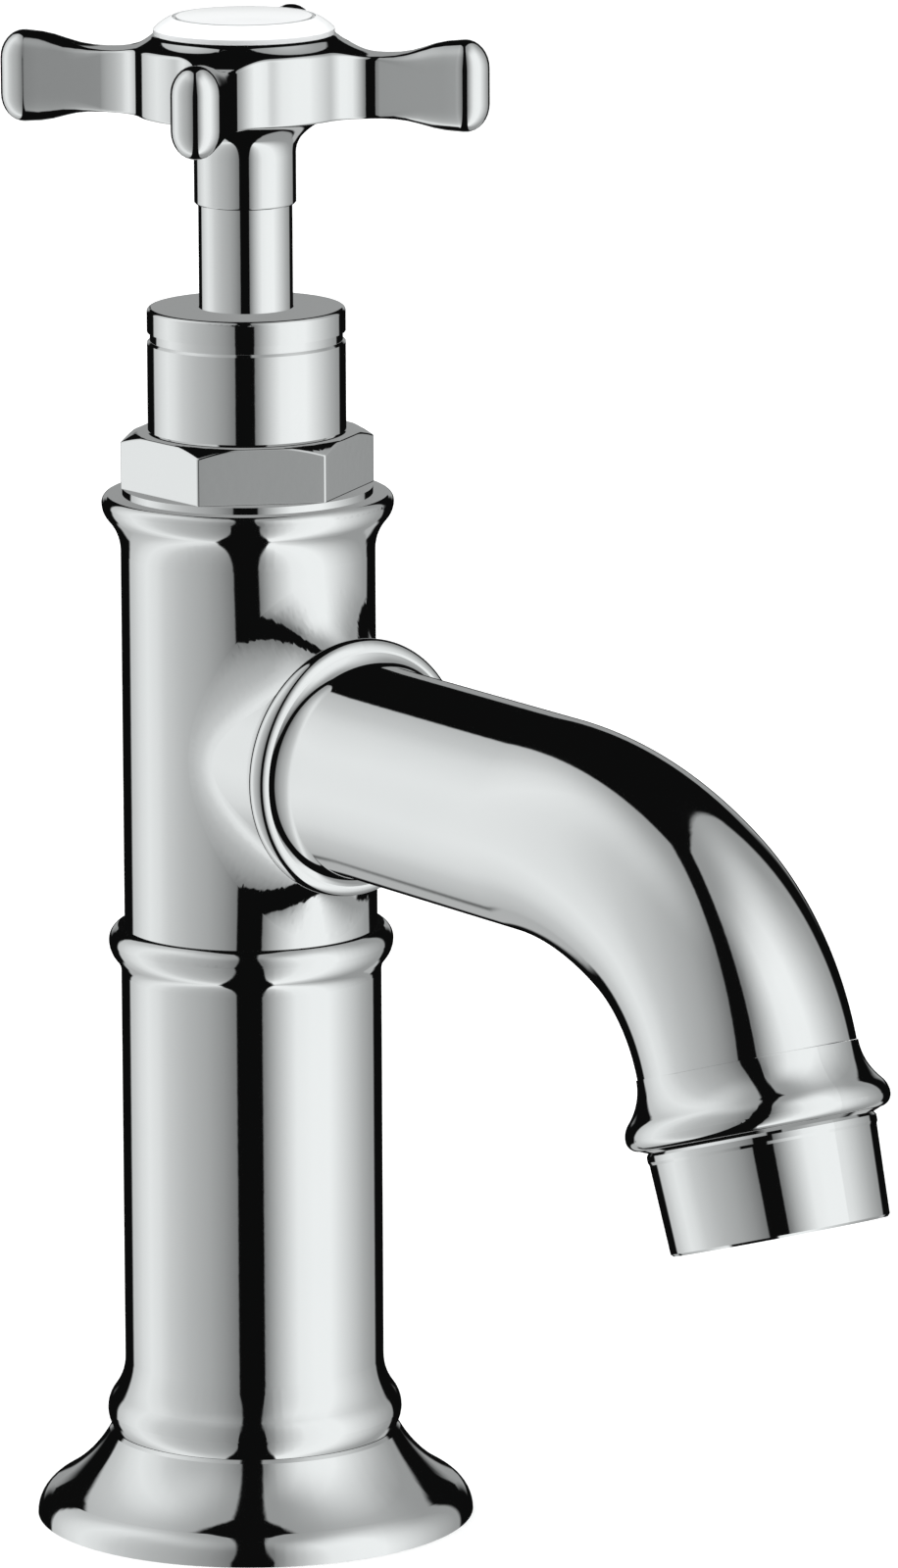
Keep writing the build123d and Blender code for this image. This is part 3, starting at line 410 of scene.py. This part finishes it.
# radii and heights of the tail in millimetres, the inside from the top down
tail_radius, tail_bottom, tail_top = 10.4775, -52.0, 24.0
lead_radius, lead_slope = 9.6, 0.9
relief_radius, relief_low, relief_high = 9.28, -35.7, -34.1
row_height, deck_row = 0.15, -0.6
socket_radius, socket_floor = 6.1, 13.0
throat_radius, water_way_radius, water_way_top = 5.0, 8.0, 10.0
tail_columns = 120
tail_profile = [(water_way_radius, tail_bottom), (lead_radius, tail_bottom)]
for z in np.arange(tail_bottom + 0.1, relief_low - 0.1, row_height):
    tail_profile.append((min(tail_radius, lead_radius + lead_slope * (z - tail_bottom)), z))
tail_profile += [(tail_radius, relief_low - 0.05), (relief_radius, relief_low)]
tail_profile += [(relief_radius, relief_high), (tail_radius, relief_high + 0.05)]
tail_profile += [(tail_radius, z) for z in np.arange(relief_high + 0.2, deck_row, row_height)]
tail_profile += [(tail_radius, tail_top), (socket_radius, tail_top), (socket_radius, socket_floor)]
tail_profile += [(throat_radius, socket_floor), (throat_radius, water_way_top)]
tail_profile.append((water_way_radius, water_way_top))

# the thread's sizes in metres
thread_sizes = {"Pitch": 0.001814, "Depth": 0.00105, "Core": 0.0101, "Low": -0.0515, "High": -0.0008}
run_in, run_out = 0.0009, 0.0018
crest_share, root_share = 0.08, 0.92
thread_tree, wires, size = new_tree("helical_thread", thread_sizes)
x = wires.node("ShaderNodeSeparateXYZ", ports={0: wires.node("GeometryNodeInputPosition")}, out="X")
y, z = x.sibling("Y"), x.sibling("Z")
reach = (x * x + y * y) ** 0.5
turn = wires.math("ARCTAN2", y, x) / (2 * math.pi)
phase = wires.math("FRACT", z / size["Pitch"] - turn)
valley = 1 - wires.math("ABSOLUTE", phase * 2 - 1)
groove = between(wires, valley, crest_share, root_share)
on_wall = wires.math("GREATER_THAN", reach, size["Core"])
begun = between(wires, z, size["Low"], size["Low"] + run_in, "LINEAR")
ended = between(wires, z, size["High"] - run_out, size["High"], "LINEAR")
shrink = 1 - size["Depth"] * groove * on_wall * begun * (1 - ended) / reach
cut_place = wires.node("ShaderNodeCombineXYZ", ports={0: x * shrink, 1: y * shrink, 2: z})
cut = wires.node("GeometryNodeSetPosition", ports={"Geometry": size["Geometry"], "Position": cut_place})
end_tree(wires, cut, brass)
tail = grown(turned(tail_profile, tail_columns), thread_tree, thread_sizes)
shade(tail, angle=60)
seat("threaded_tail", tail, brass, "tap", "tail_shank")
dress(rubber, "deck_seal_washer")
dress(steel, "deck_backing_washer")
dress(brass, "back_nut")


# Riser: a thin brass tube inside the pillar that carries the water up to the valve,
# held at both ends by O-rings.
dress(brass, "riser_tube")
dress(rubber, "riser_seals")


# Upper body: the chromed tee on top of the pillar, with a collar at its head and the short
# boss that the spout grows from. An O-ring seals it on the pillar.
dress(chrome, "body_tee")
dress(rubber, "body_seal")


# Spout: a bent chromed tube with a half-round ring at its root and a beaded collar at its
# end, both pressed on. An O-ring seals the root in the body.
tube_radius, root_radius, plug_radius = 13.0, 14.4, 9.8
spout_height, spout_fall = 98.0, math.radians(1.4)
plug_places = (14.0, 20.0, 22.68)
cove_start, cove_end, first_bend = 22.7, 25.1, 59.0
bends = ((51.0, 28.1), (26.6, 43.4))
cove_rows, straight_rows, bend_row_angle = 12, 8, 0.7
tube_columns = 144.0

# the spine lies in the upright plane through the spout: real is outwards and imaginary is up
course = complex(0.0, spout_height)
heading = complex(math.cos(spout_fall), -math.sin(spout_fall))
stations = [(course + heading * walked, plug_radius) for walked in plug_places]
flare = root_radius - tube_radius
cove_radius = ((cove_end - cove_start) ** 2 + flare ** 2) / (2 * flare)
for step in range(cove_rows + 1):
    walked = cove_start + (cove_end - cove_start) * step / cove_rows
    lift = cove_radius - math.sqrt(cove_radius ** 2 - (cove_end - walked) ** 2)
    stations.append((course + heading * walked, tube_radius + lift))
for step in range(1, straight_rows + 1):
    walked = cove_end + (first_bend - cove_end) * step / straight_rows
    stations.append((course + heading * walked, tube_radius))
course += heading * first_bend
for bend_radius, sweep in bends:
    centre = course - 1j * heading * bend_radius
    rows = int(sweep / bend_row_angle)
    for row in range(1, rows + 1):
        swing = math.radians(sweep * row / rows)
        spin = complex(math.cos(swing), -math.sin(swing))
        stations.append((centre + 1j * heading * bend_radius * spin, tube_radius))
    course, heading = stations[-1][0], heading * spin

spine = bpy.data.curves.new("spout_spine", "CURVE")
spine.dimensions = "3D"
run = spine.splines.new("POLY")
run.points.add(len(stations) - 1)
for knot, (spot, radius) in zip(run.points, stations):
    knot.co = (0, -spot.real / 1000, spot.imag / 1000, 1)
    knot.radius = radius / 1000
tube_tree, wires, size = new_tree("tube_along_spine", ("Columns",))
ring = wires.node("GeometryNodeCurvePrimitiveCircle", {"mode": "RADIUS"},
                  {"Resolution": size["Columns"], "Radius": 1.0})
girth = wires.node("GeometryNodeInputRadius")
skin = wires.node("GeometryNodeCurveToMesh",
                  ports={0: size["Geometry"], 1: ring, "Scale": girth, "Fill Caps": True})
end_tree(wires, skin, chrome)
tube = grown(spine, tube_tree, {"Columns": tube_columns})
close(tube)
shade(tube, angle=40)
seat("spout_pipe", tube, chrome, "tap", "spout_tube")
dress(chrome, "spout_collar", "spout_ferrule")
dress(rubber, "spout_seal")


# Aerator: a chromed sleeve screwed into the spout's end. It holds a rubber washer, a white
# plastic jet former and a honeycomb screen.
plastic, moulded, place = new_finish("white_moulded_plastic")
mottle = noise(moulded, place, scale=500.0)
surfaced(
    moulded,
    Base_Color=shades(moulded, mottle, (0.70, 0.71, 0.70), (0.80, 0.80, 0.79)),
    Roughness=0.36 + 0.12 * mottle,
    Normal=relief(moulded, mottle, strength=0.06, depth=0.0001),
)
dress(chrome, "aerator_housing")
dress(rubber, "aerator_washer")
dress(plastic, "aerator_insert", "aerator_screen")


# Bonnet: a hexagon nut on a thin ring clamps the valve in the body. A plain sleeve and a
# flat cap, with a turned groove between them, cover it.
def weighted(mesh):
    """Smooth faces whose shading follows the larger faces, so that flats stay flat up to their edges."""
    mesh.polygons.foreach_set("use_smooth", [True] * len(mesh.polygons))
    total = np.zeros((len(mesh.vertices), 3))
    for face in mesh.polygons:
        pull = np.array(face.normal) * face.area
        for corner in face.vertices:
            total[corner] += pull
    total /= np.maximum(np.linalg.norm(total, axis=1), 1e-20)[:, None]
    mesh.normals_split_custom_set_from_vertices([tuple(pull) for pull in total])


def rib(inner, edge, low_inner, top, bottom, soft_side, soft_height):
    """Points from the inside of the top face, round the edge and back under, in millimetres."""
    flat_rows, round_rows, wall_rows = 6, 8, 6
    lines = []
    for start, surface, sign in ((inner, top, 1), (low_inner, bottom, -1)):
        reach = math.dist(start, edge)
        soft = min(soft_side, reach)
        section = []
        for row in range(flat_rows + 1):
            share = row / flat_rows
            section.append(((1 - share) * reach + share * soft, 0.0))
        for row in range(1, round_rows + 1):
            angle = row / round_rows * math.pi / 2
            section.append((soft * (1 - math.sin(angle)), soft_height * (1 - math.cos(angle))))
        line = []
        for inward, drop in section:
            share = 1 - inward / reach
            x = start[0] + share * (edge[0] - start[0])
            y = start[1] + share * (edge[1] - start[1])
            line.append((x, y, surface(math.hypot(x, y)) - sign * drop))
        lines.append(line)
    upper, lower = lines[0], lines[1][::-1]
    wall = []
    for row in range(1, wall_rows):
        wall.append(tuple(a + row / wall_rows * (b - a) for a, b in zip(upper[-1], lower[0])))
    return upper + wall + lower


def lofted(ribs, name):
    """A mesh with one strip between each rib and the next, closed round."""
    rows = len(ribs[0])
    points = [tuple(value / 1000 for value in point) for line in ribs for point in line]
    faces = []
    for column in range(len(ribs)):
        here, there = column * rows, (column + 1) % len(ribs) * rows
        faces += [(here + row, here + row + 1, there + row + 1, there + row) for row in range(rows - 1)]
    mesh = bpy.data.meshes.new(name)
    mesh.from_pydata(points, [], faces)
    return mesh


nut_flat, nut_corner, nut_edge = 13.5, 0.35, 0.18
nut_foot, nut_top = 129.2, 136.0
chamfer_start, chamfer_angle = 13.86, math.radians(30)
top_inner_radius, foot_inner_radius = 12.2, 12.9
neck_radius, neck_top, neck_bore, thread_bottom = 11.0, 141.0, 9.5, 119.0
corner_columns, flat_columns = 8, 16
sixth = math.radians(60)

# the outline goes round each corner by an arc and along each flat by a straight line
nut_outline = []
corner_reach = (nut_flat - nut_corner) / math.cos(sixth / 2)
half_flat = corner_reach * math.sin(sixth / 2)
for side in range(6):
    middle = sixth * (side + 0.5)
    for column in range(corner_columns + 1):
        facing = sixth * (side + column / corner_columns)
        nut_outline.append((corner_reach * math.cos(middle) + nut_corner * math.cos(facing),
                            corner_reach * math.sin(middle) + nut_corner * math.sin(facing)))
    facing = sixth * (side + 1)
    for column in range(1, flat_columns):
        slide = half_flat - 2 * half_flat * column / flat_columns
        nut_outline.append((nut_flat * math.cos(facing) + slide * math.sin(facing),
                            nut_flat * math.sin(facing) - slide * math.cos(facing)))


def nut_face(r):
    """The height of the nut's top, which falls to its corners by the chamfer."""
    return nut_top - max(0.0, r - chamfer_start) * math.tan(chamfer_angle)


nut_inside = [(foot_inner_radius, thread_bottom), (neck_bore, thread_bottom), (neck_bore, neck_top)]
nut_inside += [(neck_radius, neck_top), (neck_radius, nut_top)]
nut_ribs = []
for x, y in nut_outline:
    reach = math.hypot(x, y)
    u, v = x / reach, y / reach
    line = rib((top_inner_radius * u, top_inner_radius * v), (x, y),
               (foot_inner_radius * u, foot_inner_radius * v),
               nut_face, lambda r: nut_foot, nut_edge, nut_edge)
    nut_ribs.append(line + [(r * u, r * v, z) for r, z in nut_inside] + [line[0]])
nut = lofted(nut_ribs, "nut")
close(nut)
weighted(nut)
seat("bonnet_hexagon", nut, chrome, "tap", "bonnet_nut")
dress(chrome, "bonnet_washer", "bonnet_sleeve", "bonnet_cap")


# Valve: a brass cartridge in the body. Its lower ceramic disc stays still and its upper one
# turns with the spindle, which O-rings seal and a steel clip holds.
ceramic, fired, place = new_finish("lapped_ceramic")
speck = noise(fired, place, scale=1500.0)
surfaced(
    fired,
    Base_Color=shades(fired, speck, (0.78, 0.76, 0.70), (0.86, 0.85, 0.81)),
    Roughness=0.14 + 0.10 * speck,
    Normal=relief(fired, speck, strength=0.03, depth=0.0001),
)
dress(brass, "cartridge_body", "spindle")
dress(rubber, "seat_seal", "spindle_seals")
dress(ceramic, "fixed_disc", "rotating_disc")
dress(steel, "spindle_clip")


# Handle: a chromed cross with a round hub and four flared arms on a splined spindle. A slim
# sleeve hides the spindle below it.
def arc(points, end, heading):
    """Adds an arc that leaves the last point in the given direction, and returns its end direction."""
    start = complex(*points[-1])
    chord = complex(*end) - start
    way = complex(*heading) / abs(complex(*heading))
    half = math.atan2((chord / way).imag, (chord / way).real)
    steps = max(6, int(abs(math.degrees(half))))
    for step in range(1, steps + 1):
        share = step / steps
        if abs(half) < 1e-6:
            spot = start + chord * share
        else:
            length = abs(chord) * math.sin(half * share) / math.sin(half)
            spot = start + way * length * complex(math.cos(half * share), math.sin(half * share))
        points.append((spot.real, spot.imag))
    last = way * complex(math.cos(2 * half), math.sin(2 * half))
    return last.real, last.imag


# the cross from above: hub, the webs between hub and arms, and the arms' round ends
hub_wall, hub_rim, web_radius, waist = 13.3, 11.1, 6.0, 2.6
web_x = math.sqrt((hub_wall + web_radius) ** 2 - (waist + web_radius) ** 2)
web_y = waist + web_radius
web_touch = math.atan2(web_y, web_x)
tip_x, tip_radius, tip_join = 27.2, 3.0, 26.55
tip_half = math.sqrt(tip_radius ** 2 - (tip_x - tip_join) ** 2)
flank_heading = (1, 0.03)
handle_turned = math.radians(40.5)

# the cross from its side: radii and heights of its upper and lower surfaces
hub_top, rim_end, rim_curve, waist_top = 184.7, 16.3, 7.488, 182.6
top_bend, arm_end, past_tip = (22.29, 183.6), 27.0, 31.0
tip_top, tip_foot = 184.6, 173.4
stem_radius, stem_top, stem_cove, cove_shoulder = 6.2, 170.2, (7.15, 172.55), (13.0, 175.05)
waist_foot, foot_bend = (17.6, 175.05), (22.3, 174.225)
rim_rows = 24

top_line = [(0.0, hub_top), (hub_rim, hub_top)]
for step in range(1, rim_rows + 1):
    r = hub_rim + (rim_end - hub_rim) * step / rim_rows
    top_line.append((r, waist_top + rim_curve - math.sqrt(rim_curve ** 2 - (rim_end - r) ** 2)))
top_line.append((web_x, waist_top))
heading = arc(top_line, top_bend, (1, 0))
arc(top_line, (arm_end, tip_top), heading)
top_line.append((past_tip, tip_top))
low_line = [(stem_radius, stem_top)]
heading = arc(low_line, stem_cove, (0, 1))
arc(low_line, cove_shoulder, heading)
low_line.append(waist_foot)
heading = arc(low_line, foot_bend, (1, 0))
arc(low_line, (arm_end, tip_foot), heading)
low_line.append((past_tip, tip_foot))


def handle_top(r):
    return float(np.interp(r, [p[0] for p in top_line], [p[1] for p in top_line]))


def handle_bottom(r):
    return float(np.interp(r, [p[0] for p in low_line], [p[1] for p in low_line]))


def softness(r):
    """How far the edges are polished round: a little at the hub, fully at the arms' ends."""
    start, length = 15.5, 11.2
    hub_edge, side_gain, height_gain = 0.35, 2.5, 3.1
    share = min(1.0, max(0.0, (r - start) / length))
    swell = share * share * (3 - 2 * share)
    return hub_edge + side_gain * swell, hub_edge + height_gain * swell


# one side of an arm, from its tip to halfway round the hub: (edge point, inner point)
tip_columns, web_columns, rim_columns, hub_columns = 18, 14, 10, 12
flank_lean = 0.05
side_line = []
for step in range(tip_columns + 1):
    angle = (math.pi / 2 + math.asin((tip_x - tip_join) / tip_radius)) * step / tip_columns
    side_line.append(((tip_x + tip_radius * math.cos(angle), tip_radius * math.sin(angle)), (tip_x, 0.0)))
flank = [(web_x, waist)]
arc(flank, (tip_join, tip_half), flank_heading)
for x, y in flank[::-1][1:]:
    side_line.append(((x, y), (x + (tip_x - x) * flank_lean, 0.0)))

# the inner points walk along the arm's middle to the hub's rim, and then round the rim
inner_run = web_x - hub_rim
inner_length = inner_run + hub_rim * web_touch
corner_share = inner_run / inner_length
web_shares = [corner_share * step / web_columns for step in range(1, web_columns + 1)]
web_shares += [corner_share + (1 - corner_share) * step / rim_columns for step in range(1, rim_columns + 1)]
for share in web_shares:
    angle = -math.pi / 2 - share * (math.pi / 2 - web_touch)
    edge = (web_x + web_radius * math.cos(angle), web_y + web_radius * math.sin(angle))
    walked = share * inner_length
    if share <= corner_share:
        inner = (web_x - walked, 0.0)
    else:
        round_rim = (walked - inner_run) / hub_rim
        inner = (hub_rim * math.cos(round_rim), hub_rim * math.sin(round_rim))
    side_line.append((edge, inner))
for step in range(1, hub_columns + 1):
    angle = web_touch + (math.pi / 4 - web_touch) * step / hub_columns
    side_line.append(((hub_wall * math.cos(angle), hub_wall * math.sin(angle)),
                      (hub_rim * math.cos(angle), hub_rim * math.sin(angle))))
mirrored = [((x, -y), (u, -v)) for (x, y), (u, v) in side_line[::-1][:-1]]
quarter = mirrored + side_line[:-1]
cross_ribs = []
for arm in range(4):
    swing = handle_turned + arm * math.pi / 2
    c, s = math.cos(swing), math.sin(swing)
    for (x, y), (u, v) in quarter:
        edge, inner = (x * c - y * s, x * s + y * c), (u * c - v * s, u * s + v * c)
        cross_ribs.append(rib(inner, edge, inner, handle_top, handle_bottom, *softness(math.hypot(x, y))))
cross = lofted(cross_ribs, "cross")

# the hub's inside, from its rim down through the disc's pocket, the screw's pocket and the
# spindle's socket, and up again outside the stem
pocket_radius, pocket_floor, pocket_edge = 9.1, 181.0, 0.15
screw_radius, screw_floor = 6.0, 176.0
spline_radius, stem_foot, spline_edge, stem_edge = 4.05, 164.0, 0.2, 0.25
hub_column = [(hub_rim, hub_top), (pocket_radius + pocket_edge, hub_top)]
hub_column += [(pocket_radius, hub_top - pocket_edge), (pocket_radius, pocket_floor)]
hub_column += [(screw_radius, pocket_floor), (screw_radius, screw_floor), (spline_radius, screw_floor)]
hub_column += [(spline_radius, stem_foot + spline_edge), (spline_radius + spline_edge, stem_foot)]
hub_column += [(stem_radius - stem_edge, stem_foot), (stem_radius, stem_foot + stem_edge)]
hub_column += [point for point in low_line if point[0] < hub_rim]
hub_column.append((hub_rim, handle_bottom(hub_rim)))
rim_angles = set()
for line in cross_ribs:
    if abs(math.hypot(line[0][0], line[0][1]) - hub_rim) < 1e-6:
        rim_angles.add(round(math.atan2(line[0][1], line[0][0]), 7))
hub_ribs = []
for angle in sorted(rim_angles):
    hub_ribs.append([(r * math.cos(angle), r * math.sin(angle), z) for r, z in hub_column])
hub = lofted(hub_ribs, "hub")
work = bmesh.new()
work.from_mesh(cross)
work.from_mesh(hub)
work.to_mesh(cross)
work.free()
close(cross)
weighted(cross)
seat("cross_grip", cross, chrome, "handle", "cross_handle")
dress(chrome, "stem_sleeve")
dress(steel, "handle_screw")


# Button: a disc of white glazed porcelain with a fine engraved ring, which a grey band of
# painted shade darkens in its colour. It snaps into the hub over the screw, held by a rubber ring round its
# skirt.
porcelain, glaze, place = new_finish("white_porcelain")
# painted shade: a grey band in the colour, on the radii where the engraved groove runs round the dome
groove_shade_edges, groove_shade_strength, groove_shade_grey = (8.15, 8.35, 8.55, 8.75), 0.75, (0.30, 0.31, 0.31)
cloud = noise(glaze, place, scale=90.0)
x = glaze.node("ShaderNodeSeparateXYZ", ports={0: place}, out="X")
y = x.sibling("Y")
reach = (x * x + y * y) ** 0.5 * 1000
groove_shade_band = band(glaze, reach, *groove_shade_edges)
white = shades(glaze, cloud, (0.86, 0.87, 0.88), (0.90, 0.91, 0.91))
surfaced(
    glaze,
    Base_Color=shades(glaze, groove_shade_band * groove_shade_strength, white, groove_shade_grey),
    Roughness=0.10 + 0.04 * cloud,
    Normal=relief(glaze, cloud, strength=0.02, depth=0.0002),
)
dress(porcelain, "porcelain_button")
dress(rubber, "button_ring")
